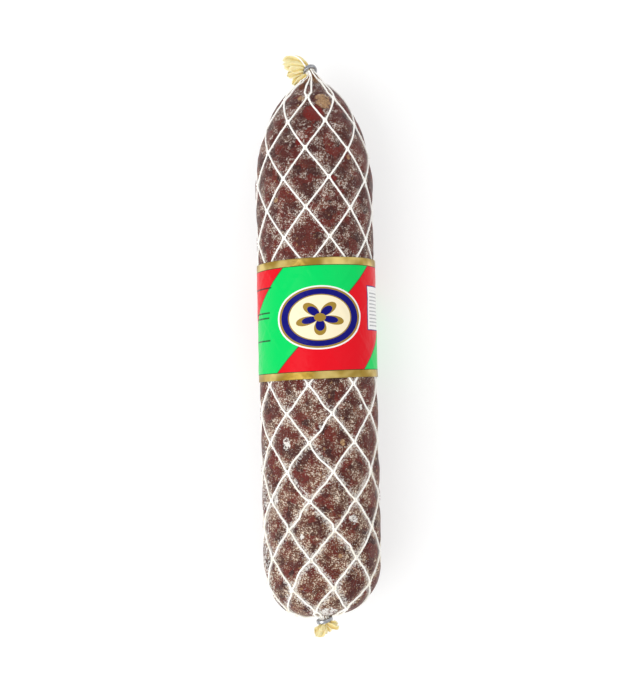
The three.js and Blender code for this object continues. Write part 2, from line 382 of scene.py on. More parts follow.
def path_frames(path, normals):
    """Unit headings along paths of points, and the side and outward vectors square to them."""
    heading = np.gradient(path, axis=-2)
    heading /= np.linalg.norm(heading, axis=-1, keepdims=True)
    side = np.cross(heading, normals)
    side /= np.linalg.norm(side, axis=-1, keepdims=True)
    return heading, side, np.cross(side, heading)


# Finishes: nodes written as formulas

def tone(red, green, blue):
    """A colour given as 0 to 255 on a screen, as the linear light that a shader takes."""
    shares = [number / 255 for number in (red, green, blue)]
    return tuple(s / 12.92 if s <= 0.04045 else ((s + 0.055) / 1.055) ** 2.4 for s in shares)


class Value:
    """An output of a node. Arithmetic on it adds Math nodes, so a pattern reads as a formula."""

    def __init__(self, finish, socket):
        self.finish = finish
        self.socket = socket

    def math(self, operation, *numbers):
        return self.finish.node("ShaderNodeMath", {"operation": operation}, numbers)

    def __rsub__(self, other):
        return self.math("SUBTRACT", other, self)

    def __abs__(self):
        return self.math("ABSOLUTE", self)


for symbol, operation in (("add", "ADD"), ("radd", "ADD"), ("sub", "SUBTRACT"), ("mul", "MULTIPLY"),
                          ("rmul", "MULTIPLY"), ("truediv", "DIVIDE"), ("pow", "POWER"),
                          ("lt", "LESS_THAN"), ("gt", "GREATER_THAN")):
    setattr(Value, f"__{symbol}__",
            lambda self, other, operation=operation: self.math(operation, self, other))


class Finish:
    """A material under construction."""

    def __init__(self, name):
        self.material = bpy.data.materials.new(name)
        self.material.use_nodes = True
        self.tree = self.material.node_tree
        self.tree.nodes.clear()

    def node(self, kind, settings=None, inputs=(), output=0):
        """Adds a node: its type, its settings, and its inputs as a list in order or by name."""
        node = self.tree.nodes.new(kind)
        for label, setting in (settings or {}).items():
            setattr(node, label, setting)
        pairs = inputs.items() if isinstance(inputs, dict) else enumerate(inputs)
        for label, given in pairs:
            socket = self.find(node.inputs, label)
            if isinstance(given, Value):
                self.tree.links.new(given.socket, socket)
            elif socket.type == "RGBA":
                socket.default_value = (*given[:3], 1.0)
            else:
                socket.default_value = given
        if not len(node.outputs):
            return None
        return Value(self, self.find(node.outputs, output))

    @staticmethod
    def find(sockets, label):
        """A socket by its place, its identifier or its name."""
        if isinstance(label, int):
            return sockets[label]
        matches = [socket for socket in sockets if socket.identifier == label]
        return matches[0] if matches else sockets[label]

    def mix(self, factor, first, second, blend="MIX"):
        """A colour part of the way from one to another."""
        return self.node("ShaderNodeMix", {"data_type": "RGBA", "blend_type": blend},
                         {"Factor_Float": factor, "A_Color": first, "B_Color": second}, "Result_Color")

    def step(self, value, low, high):
        """Rises smoothly from 0 at low to 1 at high."""
        return self.node("ShaderNodeMapRange", {"interpolation_type": "SMOOTHSTEP"},
                         {"Value": value, "From Min": low, "From Max": high, "To Min": 0.0, "To Max": 1.0})

    def place(self):
        """Object coordinates, in metres."""
        return self.node("ShaderNodeTexCoord", output="Object")

    def attribute(self, label):
        """The three numbers of a mesh attribute, apart."""
        vector = self.node("ShaderNodeAttribute", {"attribute_name": label}, output="Vector")
        return self.apart(vector)

    def apart(self, vector):
        """The X, Y and Z of a vector."""
        node = self.tree.nodes.new("ShaderNodeSeparateXYZ")
        self.tree.links.new(vector.socket, node.inputs[0])
        return [Value(self, socket) for socket in node.outputs]

    def noise(self, place, cell, detail=2.0, roughness=0.5, distortion=0.0, output="Fac"):
        """Cloudy noise whose blobs are about one cell across."""
        return self.node("ShaderNodeTexNoise", {},
                         {"Vector": place, "Scale": 1 / cell, "Detail": detail,
                          "Roughness": roughness, "Distortion": distortion}, output)

    def cells(self, place, cell, output="Distance", feature="F1"):
        """Packed grains about one cell across."""
        return self.node("ShaderNodeTexVoronoi", {"feature": feature},
                         {"Vector": place, "Scale": 1 / cell}, output)

    def shifted(self, place, cell, reach):
        """Coordinates pushed about by noise, so that grains are not round."""
        cloud = self.noise(place, cell, output="Color")
        centred = self.node("ShaderNodeVectorMath", {"operation": "SUBTRACT"}, [cloud, (0.5, 0.5, 0.5)])
        scaled = self.node("ShaderNodeVectorMath", {"operation": "SCALE"},
                           {"Vector": centred, "Scale": 2 * reach})
        return self.node("ShaderNodeVectorMath", {"operation": "ADD"}, [place, scaled])

    def bump(self, height, distance, strength=1.0):
        """Relief from a height of 0 to 1 that stands for a distance in metres."""
        return self.node("ShaderNodeBump", {}, {"Strength": strength, "Distance": distance,
                                                "Height": height})

    def shine(self, **sockets):
        """The surface shader, its sockets named with underscores for spaces, and the output."""
        inputs = {label.replace("_", " "): given for label, given in sockets.items()}
        surface = self.node("ShaderNodeBsdfPrincipled", {}, inputs)
        self.node("ShaderNodeOutputMaterial", {}, {"Surface": surface})
        return self.material


def casing_finish(colours):
    """Dried lean and fat seen through a thin casing, under a dusty bloom that gathers beside the cords, with
    pale grit whose grains also serve as painted glints, and mould on the lit side of the blunt half that also
    serves as painted light.
    Attributes: lay = (nearness to a cord, place along the body, end), spots = (fat, mould and the mould band
    with painted light, red)."""
    f = Finish("dry_cured_casing")
    place = f.place()
    valley, along, gather = f.attribute("lay")
    fat_spot, mould_spot, red_spot = f.attribute("spots")
    warped = f.shifted(place, 5 * MM, 2.2 * MM)
    coarse = f.apart(f.cells(warped, 7 * MM, "Color"))[0]
    fine = f.apart(f.cells(warped, 3.2 * MM, "Color"))[1]
    edges = f.cells(warped, 7 * MM, "Distance", "DISTANCE_TO_EDGE")

    lean = f.mix(f.step(coarse, 0.0, 1.0) * 0.8 + 0.1, colours.lean_dark, colours.lean)
    lean = f.mix(f.step(fine, 0.5, 0.95) * 0.55, lean, colours.lean_brown)
    smear = f.step(f.noise(place, 9 * MM, 3.0) - along * 0.16, 0.40, 0.56)
    lean = f.mix(smear * 0.35, lean, colours.tan)
    fleck = f.step(f.noise(warped, 2.6 * MM, 2.0) - along * 0.04, 0.64, 0.70)
    body = f.mix(fleck * 0.5, lean, colours.fat)
    torn = (f.noise(place, 2.6 * MM, 4.0, 0.7) - 0.5) * 2.4
    body = f.mix(f.step(fat_spot * (0.75 + torn), 0.34, 0.60) * 0.9, body,
                 f.mix(f.step(f.noise(place, 1.2 * MM, 3.0), 0.4, 0.6) * 0.5, colours.fat, colours.tan))
    fresh = f.step(red_spot * (0.85 + torn * 0.6), 0.30, 0.75)
    body = f.mix(fresh * 0.9, body, colours.bright_lean)

    cloud = f.noise(place, 9 * MM, 3.0, 0.6)
    patch = f.step(cloud + valley * 0.06 - fresh * 0.2 - fat_spot * 0.1, 0.42, 0.62)
    fine_grain = f.noise(place, 0.8 * MM, 2.0, 0.65)
    middle_grain = f.noise(place, 1.9 * MM, 3.0, 0.65)
    dust = f.step(fine_grain * 0.5 + middle_grain * 0.5 + patch * 0.10, 0.50, 0.64)
    bare = 1 - fresh * 0.85
    body = f.mix(dust * (0.10 + patch * 0.38) * bare, body, colours.bloom)
    # Pale grains of grit, partly real grains and partly painted glints of light on the skin.
    bright = f.step(fine_grain * 0.68 + middle_grain * 0.32 + patch * 0.06 + valley * 0.02, 0.575, 0.645)
    grit_and_glint = f.mix(along, colours.warm_grit_and_glint, colours.grit_and_glint)
    body = f.mix(bright * (0.42 + patch * 0.52 - along * 0.32) * bare, body, grit_and_glint)
    pit = f.step(f.noise(place, 1.0 * MM, 3.0, 0.7), 0.46, 0.38)
    body = f.mix(pit * 0.6, body, colours.lean_dark)
    dusty = f.step(dust * patch + bright, 0.1, 0.9)
    size = f.cells(place, 1.25 * MM, "Distance") + f.apart(f.cells(place, 1.25 * MM, "Color"))[0] * 0.42
    speck = f.step(size - patch * 0.05 - valley * 0.09 + along * 0.05, 0.235, 0.15)
    body = f.mix(speck * bare * 0.95, body, colours.mould)
    powder = f.step(f.noise(place, 1.5 * MM, 4.0, 0.75) * 0.8 + valley * 0.22 - along * 0.11, 0.535, 0.62)
    body = f.mix(powder * bare * 0.7, body, colours.mould)
    crust = mould_spot * (0.72 + (f.noise(place, 1.9 * MM, 4.0, 0.75) - 0.5) * 3.4)
    ragged = f.step(crust, 0.52, 0.68)
    body = f.mix(ragged * 0.95, body, colours.mould)
    drawn = f.step(f.noise(place, 1.8 * MM, 3.0), 0.38, 0.6)
    body = f.mix(gather * (0.35 + drawn * 0.55), body, colours.gathered)

    relief = (f.step(edges, 0.0, 0.12) * 0.3 + f.noise(place, 1.4 * MM, 4.0, 0.7) * 0.5
              + fine_grain * 0.3 + ragged * 0.2)
    rough = 0.42 + dusty * 0.35 + ragged * 0.2 - fresh * 0.12
    return f.shine(Base_Color=body, Roughness=rough, Normal=f.bump(relief, 0.8 * MM, 1.0),
                   Subsurface_Weight=0.04, Subsurface_Radius=(0.002, 0.0008, 0.0005),
                   Specular_IOR_Level=0.28)


def cotton_finish(name, colours):
    """Bleached cotton twine, creamier and dusted with mould towards the blunt end, darkened by painted shade
    in the gaps between its fibres, and given a faint painted glow so that it reads brighter than its light
    makes it.
    """
    f = Finish(name)
    place = f.place()
    along = f.apart(place)[1]
    old = 1 - f.step(along, BLUNT_END, LABEL_CENTRE)
    stain = f.step(f.noise(place, 6 * MM, 3.0, 0.6), 0.42, 0.68)
    colour = f.mix(stain * (0.12 + 0.4 * old), colours.cotton, colours.cotton_stained)
    fibre = f.noise(place, 0.25 * MM, 3.0, 0.7)
    # Painted shade between the fibres.
    colour = f.mix(f.step(fibre, 0.42, 0.3) * 0.25, colour, colours.cotton_shadow)
    # The emission is a painted glow: the cord is no lamp, and its own colour is made to shine faintly.
    return f.shine(Base_Color=colour, Roughness=0.85, Normal=f.bump(fibre, 0.16 * MM, 0.6),
                   Sheen_Weight=0.3, Sheen_Roughness=0.5, Specular_IOR_Level=0.25,
                   Emission_Color=colour, Emission_Strength=0.10)


def film_finish(colours):
    """Dried casing film: cream, painted darker as shade in the valleys of the pleats and where it gathers at
    the neck. Attribute lay = (pleat, edge, 0).
    """
    f = Finish("dry_casing_film")
    place = f.place()
    pleat, edge, _ = f.attribute("lay")
    wrinkle = f.noise(place, 1.6 * MM, 4.0, 0.6, 0.6)
    # Painted shade: the darker film colour in the pleat valleys and near the neck.
    colour = f.mix(f.step(pleat + (wrinkle - 0.5) * 0.5, 0.35, 0.8), colours.film, colours.film_shaded)
    colour = f.mix(edge * 0.7, colour, colours.film_edge)
    return f.shine(Base_Color=colour, Roughness=0.34 + wrinkle * 0.2,
                   Normal=f.bump(wrinkle, 0.5 * MM, 0.6), Subsurface_Weight=0.25,
                   Subsurface_Radius=(0.004, 0.003, 0.0015), Coat_Weight=0.25, Coat_Roughness=0.25)


def aluminium_finish():
    """Drawn aluminium wire, finely scratched along its length and dulled in patches."""
    f = Finish("drawn_aluminium")
    place = f.place()
    scratch = f.noise(place, 0.35 * MM, 3.0, 0.6, 1.5)
    patch = f.noise(place, 2.5 * MM, 2.0)
    colour = f.mix(f.step(patch, 0.4, 0.7) * 0.4, tone(176, 177, 181), tone(112, 114, 119))
    return f.shine(Base_Color=colour, Metallic=1.0, Roughness=0.16 + patch * 0.18,
                   Normal=f.bump(scratch, 0.08 * MM, 0.5))


def filling_finish(colours):
    """The chopped lean and fat inside, as a cut would show it."""
    f = Finish("chopped_filling")
    place = f.shifted(f.place(), 5 * MM, 2 * MM)
    grain = f.apart(f.cells(place, 6 * MM, "Color"))
    colour = f.mix(grain[0], colours.lean_dark, colours.lean)
    colour = f.mix(f.step(grain[1], 0.68, 0.74), colour, colours.fat)
    relief = f.cells(place, 6 * MM, "Distance", "DISTANCE_TO_EDGE")
    return f.shine(Base_Color=colour, Roughness=0.45 + grain[2] * 0.2,
                   Normal=f.bump(f.step(relief, 0.0, 0.1), 0.4 * MM, 0.6))


def label_finish(colours):
    """The printed band: red and green quarters set on a slant, gold edge lines, a plain rosette
    medallion and a blank panel of grey rules. Attribute print = (degrees around, mm along, 0)."""
    f = Finish("printed_label")
    degrees, along, _ = f.attribute("print")
    place = f.place()
    slant = degrees - 8.3 - along * 1.5
    turn = (slant + 1080) / 180
    half = turn.math("FRACT", turn)
    red = half < 0.5
    colour = f.mix(red, colours.green, colours.red)
    boundary = (half * 2).math("FRACT", half * 2)
    near_line = 1 - f.step(abs(boundary - 0.5), 0.488, 0.496)
    colour = f.mix((1 - near_line) * 0.75, colour, colours.outline)

    def box_mask(low_degrees, high_degrees, low, high):
        """1 inside a rectangle of the print."""
        return (degrees > low_degrees) * (degrees < high_degrees) * (along > low) * (along < high)

    colour = f.mix(box_mask(55.8, 112.7, -8.2, 20.5), colour, colours.navy)
    panel = box_mask(57, 112, -7.6, 19.9)
    colour = f.mix(panel, colour, colours.paper)
    line = (along + 40) / 2.3
    line = line.math("FRACT", line)
    lines = (line < 0.38) * box_mask(60, 96, -5.5, 17.6)
    wider = (line < 0.38) * box_mask(60, 108, 5.0, 15.0)
    colour = f.mix(lines.math("MAXIMUM", lines, wider) * 0.55, colour, colours.rule)
    for height, end in ((21.4, -47), (5.6, -50), (2.3, -51), (-12.1, -50)):
        colour = f.mix(box_mask(-84, end, height - 0.5, height + 0.5) * 0.85, colour, colours.outline)

    across = (degrees - 3) * math.radians(1) * 1000 * LABEL_RADIUS
    lift = along - 0.3
    reach = ((across / 29) ** 2 + (lift / 20) ** 2) ** 0.5
    for limit, paint in ((1.0, colours.paper), (0.955, colours.gold), (0.90, colours.navy),
                         (0.73, colours.gold), (0.70, colours.paper_cream)):
        colour = f.mix(reach < limit, colour, paint)
    heading = across.math("ARCTAN2", lift / 20, across / 29)
    petals = heading * 2.5 + math.pi / 4
    lobe = abs(petals.math("COSINE", petals))
    colour = f.mix(reach < (lobe * 0.46 + 0.10), colour, colours.gold)
    colour = f.mix(reach < (lobe * 0.36 + 0.06), colour, colours.navy)
    colour = f.mix(reach < 0.13, colour, colours.gold)

    edge = abs(along)
    colour = f.mix(edge > (LABEL_WIDTH / 2 / MM - 5.0), colour, colours.outline)
    gold_band = edge > (LABEL_WIDTH / 2 / MM - 4.6)
    # Painted sheen: lighter gold in patches stands in for the shine of the gold ink.
    sheen = f.noise(place, 16 * MM, 2.0)
    gold = f.mix(f.step(sheen, 0.35, 0.65), colours.gold, colours.gold_light)
    colour = f.mix(gold_band, colour, gold)
    crease = f.noise(place, 9 * MM, 3.0, 0.5, 0.8)
    return f.shine(Base_Color=colour, Roughness=0.24 + crease * 0.12, Metallic=gold_band * 0.6,
                   Specular_IOR_Level=0.10, Normal=f.bump(crease, 1.0 * MM, 0.5))


# Sizes and colours that a user would change

def length_property(name, description, default):
    """A length that a user can set."""
    return bpy.props.FloatProperty(name=name, description=description, default=default, unit="LENGTH")


def colour_property(name, description, default):
    """A colour that a user can pick."""
    return bpy.props.FloatVectorProperty(name=name, description=description, subtype="COLOR",
                                         size=3, min=0.0, max=1.0, default=default)


class SkinSizes(bpy.types.PropertyGroup):
    """How the skin swells between the cords."""
    pillow: length_property("Pillow", "How far each mesh of the net bulges", 1.15 * MM)
    valley_width: length_property("Valley", "How wide a groove each cord presses", 3.0 * MM)
    lumps: length_property("Lumps", "How far lumps of meat stand out", 0.45 * MM)
    pleats: bpy.props.IntProperty(name="Pleats", description="Folds at each neck", default=11)
    pleat_depth: bpy.props.FloatProperty(
        name="Pleat depth", description="Depth of a fold as a share of the radius", default=0.09)
    columns: bpy.props.IntProperty(name="Around", description="Points around the skin", default=256)
    rows: bpy.props.IntProperty(name="Along", description="Points along the skin", default=380)


class CordSizes(bpy.types.PropertyGroup):
    """The cotton cord of the net."""
    thickness: length_property("Thickness", "Diameter of a cord", CORD)
    lay: length_property("Lay", "Length of one turn of the plies", 4.5 * MM)
    wander: length_property("Wander", "How far a cord strays from its line", 0.35 * MM)
    step: length_property("Step", "Spacing of the rings along a cord", 0.55 * MM)


class LabelSizes(bpy.types.PropertyGroup):
    """The paper band."""
    thickness: length_property("Paper", "Thickness of the paper", 0.2 * MM)
    ridge: length_property("Ridge", "How far the cords show through", 0.16 * MM)
    tilt: length_property("Tilt", "How far the band sits askew at its sides", 1.0 * MM)


class SkinColours(bpy.types.PropertyGroup):
    """The colours of the meat, the bloom and the dried film."""
    lean: colour_property("Lean", "Cured lean meat", tone(108, 26, 14))
    lean_dark: colour_property("Dark lean", "The darkest lean", tone(50, 16, 12))
    lean_brown: colour_property("Brown lean", "Lean dried brown", tone(90, 42, 26))
    bright_lean: colour_property("Bright lean", "A fresh red piece", tone(118, 14, 3))
    tan: colour_property("Tan", "Fat smeared under the casing", tone(126, 84, 58))
    fat: colour_property("Fat", "Pieces of fat", tone(190, 152, 108))
    bloom: colour_property("Bloom", "Dusty grey bloom", tone(146, 118, 102))
    # Grit: pale grains that also serve as painted glints on the skin.
    grit_and_glint: colour_property("Grit", "Fine pale grains", tone(244, 238, 232))
    warm_grit_and_glint: colour_property("Warm grit", "Grains towards the blunt end", tone(244, 226, 200))
    mould: colour_property("Mould", "White mould", tone(238, 234, 228))
    gathered: colour_property("Gathered casing", "Casing drawn in at the necks", tone(158, 112, 62))
    film: colour_property("Film", "Dried casing", tone(240, 226, 168))
    # Shaded film: the darker colour painted as shade in the pleats.
    film_shaded: colour_property("Deep film", "Casing inside the pleats", tone(222, 196, 118))
    film_edge: colour_property("Film edge", "The pale edge of the casing", tone(248, 240, 208))


class CordColours(bpy.types.PropertyGroup):
    """The colours of the cotton."""
    cotton: colour_property("Cotton", "Clean cord", tone(255, 254, 250))
    cotton_stained: colour_property("Stained cotton", "Cord that has soaked up fat", tone(232, 220, 188))
    cotton_shadow: colour_property("Between plies", "The gaps between fibres", tone(214, 204, 186))


class LabelColours(bpy.types.PropertyGroup):
    """The printing inks."""
    red: colour_property("Red", "Red ink", tone(226, 14, 32))
    green: colour_property("Green", "Green ink", tone(0, 212, 98))
    navy: colour_property("Navy", "Dark blue ink", tone(10, 10, 116))
    gold: colour_property("Gold", "Gold ink", tone(158, 128, 50))
    gold_light: colour_property("Light gold", "Gold ink where it shines", tone(222, 198, 122))
    paper: colour_property("Paper", "Bare paper", tone(244, 244, 242))
    paper_cream: colour_property("Cream", "The middle of the medallion", tone(246, 234, 200))
    outline: colour_property("Outline", "Thin dark lines of the print", tone(22, 34, 30))
    rule: colour_property("Rule", "Grey ruled lines", tone(96, 98, 110))


class StageSizes(bpy.types.PropertyGroup):
    """The camera and the light."""
    lens: bpy.props.FloatProperty(name="Lens", description="Focal length in mm", default=65.0)
    roll: bpy.props.FloatProperty(
        name="Roll", description="Turn of the camera", default=math.radians(1.3), subtype="ANGLE")
    key: bpy.props.FloatProperty(name="Key light", description="Power of the main light", default=11.0,
                                 unit="POWER")
    fill: bpy.props.FloatProperty(name="Fill", description="Brightness all round", default=0.72)


# The pieces

def soft_spot(angle, place, spot):
    """1 in the middle of an oval on the skin, 0 outside it. A spot is its X seen from above, its
    distance back from the tapered end, its width and its length."""
    x, back, width, length = spot
    y = TAPER_END - back
    girth = np.interp(place, PLACE_AT + BLUNT_END, RADIUS_AT)
    centre = math.asin(max(-0.95, min(0.95, x / float(np.interp(y, PLACE_AT + BLUNT_END, RADIUS_AT)))))
    sideways = (np.mod(angle - centre + math.pi, 2 * math.pi) - math.pi) * girth
    reach = np.hypot(sideways / (width / 2), (place - y) / (length / 2))
    return 1 - smooth_step(reach, 0.55, 1.25)


FAT_SPOTS = [(7, 19.5, 12, 13), (-7, 17, 5, 5), (10.9, 307.3, 4, 3), (-24, 83.5, 5, 4),
             (14, 237.5, 4, 5), (22, 57.5, 3, 4)]
MOULD_SPOTS = [(-20, 238, 7, 10), (19.5, 285.5, 8, 8), (-28, 271.5, 7, 12), (8, 327.5, 7, 4),
               (3, 343, 14, 8), (-12, 295.5, 4, 5), (26, 215.5, 4, 6)]
RED_SPOTS = [(0.6, 28.5, 15, 14), (-9, 47.5, 5, 6), (12, 71.5, 6, 5)]


# A band of mould along one side of the blunt half, the side that the key light falls on, which also makes
# that side lighter as painted light: its angle from the top, how wide it is as an angle, and the places
# between which it fades out.
DUSTED_AND_LIT_ANGLE, DUSTED_AND_LIT_WIDTH = math.radians(72), 0.46
DUSTED_AND_LIT_FADE = (-90 * MM, 0)


def spot_masks(angle, place):
    """The fat, mould and bright red spots as three masks."""
    return [np.max([soft_spot(angle, place, np.array(spot) * MM) for spot in spots], axis=0)
            for spots in (FAT_SPOTS, MOULD_SPOTS, RED_SPOTS)]


class SAUSAGE_OT_casing(bpy.types.Operator):
    """Builds the casing: the outline swept round the spine, swollen between the cords"""
    bl_idname = "sausage.casing"
    bl_label = "Casing"

    def execute(self, context):
        sizes = context.scene.sausage_skin
        angle = np.linspace(0, 2 * math.pi, sizes.columns, endpoint=False)[None, :]
        first, last = -BLUNT_CLIP_AT, ARC_LENGTH + TAPER_CLIP_AT
        arc = np.linspace(first, last, sizes.rows)[:, None]
        angle, arc = np.broadcast_arrays(angle, arc)
        points = skin_point(angle, arc, skin_offset(angle, arc, sizes))
        place = place_at(arc)
        end = 1 - smooth_step(np.minimum(arc, ARC_LENGTH - arc), 0, 13 * MM)
        lay = np.stack([valley_depth(angle, arc, sizes.valley_width), (place - BLUNT_END) / LENGTH, end], -1)
        fat, mould, red = spot_masks(angle, place)
        # Mould band on the lit side of the blunt half: part real mould, part painted light that makes that
        # side lighter.
        side = np.mod(angle + DUSTED_AND_LIT_ANGLE + math.pi, 2 * math.pi) - math.pi
        dusted_and_lit = np.exp(-((side / DUSTED_AND_LIT_WIDTH) ** 2)) * (1 - smooth_step(place, *DUSTED_AND_LIT_FADE))
        spots = np.stack([fat, np.maximum(mould, 0.76 * dusted_and_lit), red], axis=-1)
        piece = add_mesh("casing_skin", points, tube_faces(sizes.rows, sizes.columns),
                         casing_finish(context.scene.sausage_skin_colours),
                         {"lay": lay, "spots": spots})
        register_piece(piece, "casing")
        return {"FINISHED"}


def cord_path(index, arc, thickness, wander, sizes):
    """A cord of the net: it swings from side to side by half a cell at each row of knots, eased by a
    hyperbola so that two cords lie side by side in a knot, and wanders a little in between."""
    radius = radius_at(arc)
    half = HALF_CELL * radius
    row = np.clip(net_row(arc), -STRAND_SPREAD, KNOT_ROWS - 1 + STRAND_SPREAD)
    beat = np.mod(index + row, 2)
    swing = 1 - 2 * np.abs(beat - 1)
    beside = np.minimum(0.52 * thickness, 0.8 * half)
    run = half * (1 - np.abs(swing))
    apart = np.sqrt(run ** 2 + (beside * (1 - run / half)) ** 2)
    line = np.stack([arc, np.full_like(arc, index * 31 * MM), np.zeros_like(arc)], axis=-1)
    slack = 1 + 5.0 * (1 - smooth_step(arc / ARC_LENGTH, 0.30, 0.55))
    bow = wander * slack * (noise(line, 14 * MM, 11) + 0.22 * noise(line, 3 * MM, 12))
    stray = bow * np.clip(run / (3 * MM), 0, 1) * smooth_step(radius, 4 * MM, 20 * MM)
    angle = index * HALF_CELL * 2 + net_turn(arc) + (np.sign(swing) * (half - apart) + stray) / radius
    in_knot = np.exp(-((run / (1.6 * MM)) ** 2)) * smooth_step(radius, 4 * MM, 12 * MM)
    bunched = 1 - smooth_step(radius, NECK_RADIUS, 9 * MM)
    offset = skin_offset(angle, arc, sizes) + thickness * (0.40 + 0.22 * in_knot)
    offset = held_down(offset, arc, HELD_HEIGHT - 0.55 * thickness)
    return angle, offset + thickness * 0.40 * bunched * (index % 2)


CORD_SIDES = 12


def twisted_tube(path, outward, thickness, girth, lay):
    """Plied cord along a path: a three-lobed section, r (1 + 0.13 cos 3a), that turns once per lay.
    The girth is a share of the thickness at each point, less where the cord is drawn tight."""
    _, side, up = path_frames(path, outward)
    run = np.linalg.norm(np.diff(path, axis=0), axis=1)
    travelled = np.concatenate([[0], np.cumsum(run)])
    corner = np.linspace(0, 2 * math.pi, CORD_SIDES, endpoint=False)[None, :]
    radius = thickness / 2 * girth[:, None] * (1 + 0.13 * np.cos(3 * corner)) / 1.04
    turned = corner + (travelled / lay * 2 * math.pi)[:, None]
    ring = (side[:, None] * (np.cos(turned) * radius)[..., None]
            + up[:, None] * (np.sin(turned) * radius)[..., None])
    return path[:, None] + ring


def knot_rings(angle, arc, thickness, sizes):
    """The turns of cord that bind each knot, one at each angle and arc length: an oval path across
    the pair of cords, flattened below."""
    turn = np.linspace(0, 2 * math.pi, RING_POINTS, endpoint=False)
    corner = np.linspace(0, 2 * math.pi, RING_SECTION, endpoint=False) + math.pi / 4
    radius = radius_at(arc)
    wide, tall, cord = thickness * 1.12, thickness * 0.66, thickness * 0.30
    spread = wide + cord * np.cos(corner)[None, :]
    lift = tall + cord * np.cos(corner)[None, :]
    sideways = spread * np.cos(turn)[:, None]
    upward = lift * np.sin(turn)[:, None]
    forward = cord * np.sin(corner)[None, :] + 0 * sideways
    base = skin_offset(angle, arc, sizes) + thickness * 0.62
    angles = angle[:, None, None] + sideways / radius[:, None, None]
    arcs = arc[:, None, None] + forward
    offset = base[:, None, None] + np.maximum(upward, -0.5 * thickness)
    return skin_point(angles, arcs, held_down(offset, arcs, HELD_HEIGHT))


# The one end of cord that lies over the tapered tail: a Bezier from inside the clip.
CORD_END = np.array([[-1, 0.5, 1.5], [-4, 2.5, 6.0], [-6, 10.5, 6.5], [-15, 9.5, 5.0]]) * MM
CORD_END_RINGS = 60
CORD_GROUPS = 4  # pieces that the cords are shared among
PAST_CLIP = 1.6 * MM  # from a clip's middle to the nearest end of a cord
RING_POINTS, RING_SECTION = 10, 4  # points round a binding turn, and round its cord


class SAUSAGE_OT_netting(bpy.types.Operator):
    """Builds the netting: sixteen plied cords in four pieces, a loose end, and the turns at each knot"""
    bl_idname = "sausage.netting"
    bl_label = "Netting"

    def execute(self, context):
        sizes, cord = context.scene.sausage_skin, context.scene.sausage_cord
        finish = cotton_finish("cotton_twine", context.scene.sausage_cord_colours)
        rows = int((ARC_LENGTH + 24 * MM) / cord.step)
        share = 2 * NET_CELLS // CORD_GROUPS
        for group in range(CORD_GROUPS):
            points, faces = [], []
            for order in range(share):
                index = group * share + order
                past = PAST_CLIP + (0.2 + 0.8 * abs(lattice_values(np.array([index, 5, 9]), 2))) * MM
                arc = np.linspace(-BLUNT_CLIP_AT - past, ARC_LENGTH + TAPER_CLIP_AT + past, rows)
                angle, offset = cord_path(index, arc, cord.thickness, cord.wander, sizes)
                path = skin_point(angle, arc, offset)
                outward = skin_point(angle, arc, offset + 1 * MM) - path
                drawn = 0.7 + 0.3 * smooth_step(radius_at(arc), 3 * MM, 12 * MM)
                tube = twisted_tube(path, outward, cord.thickness, drawn, cord.lay)
                points.append(tube.reshape(-1, 3))
                tube_parts = tube_faces(rows, CORD_SIDES, order * rows * CORD_SIDES)
                faces.append([part[:, ::-1] for part in tube_parts])
            faces = [np.concatenate(parts) for parts in zip(*faces)]
            piece = add_mesh(f"netting_cords_{group + 1}", np.concatenate(points), faces, finish)
            register_piece(piece, "netting")

        clip_centre = spine_frame(np.array([LENGTH + TAPER_CLIP_AT]))[0][0]
        path = bezier(clip_centre + CORD_END, CORD_END_RINGS)
        tube = twisted_tube(path, np.broadcast_to(UP, path.shape), cord.thickness,
                            np.full(CORD_END_RINGS, 0.8), cord.lay)
        piece = add_mesh("netting_cord_end", tube.reshape(-1, 3), tube_faces(CORD_END_RINGS, CORD_SIDES),
                         finish)
        recalculate(piece)
        register_piece(piece, "netting")

        row, column = np.meshgrid(np.arange(KNOT_ROWS), np.arange(NET_CELLS), indexing="ij")
        row, column = row.ravel(), column.ravel()
        arc = FIRST_KNOT + row * ROW_PITCH
        for _ in range(6):
            arc = arc - (net_row(arc) - row) * ROW_PITCH
        angle = (column * 2 + np.where(row % 2 == 0, -0.5, 0.5)) * HALF_CELL * 2 + net_turn(arc)
        rings = np.concatenate([knot_rings(angle, arc + shift, cord.thickness, sizes)
                                for shift in (-KNOT_REACH, KNOT_REACH)])
        one = grid_quads(RING_POINTS, RING_SECTION, wrap_rows=True, wrap_columns=True)
        first = np.arange(len(rings)) * RING_POINTS * RING_SECTION
        quads = (one[None] + first[:, None, None]).reshape(-1, 4)
        piece = add_mesh("netting_knots", rings.reshape(-1, 3), [quads], finish)
        recalculate(piece)
        register_piece(piece, "netting")
        return {"FINISHED"}


def recalculate(piece):
    """Turns every face of a closed mesh outwards."""
    mesh = bmesh.new()
    mesh.from_mesh(piece.data)
    bmesh.ops.recalc_face_normals(mesh, faces=mesh.faces)
    mesh.to_mesh(piece.data)
    mesh.free()


# Where the paper band ends, how far it laps over its other end, and how high it lies off the skin.
SEAM_START = math.radians(123.75)
SEAM_LAP = math.radians(22.5)
PAPER_HEIGHT = 1.42 * MM


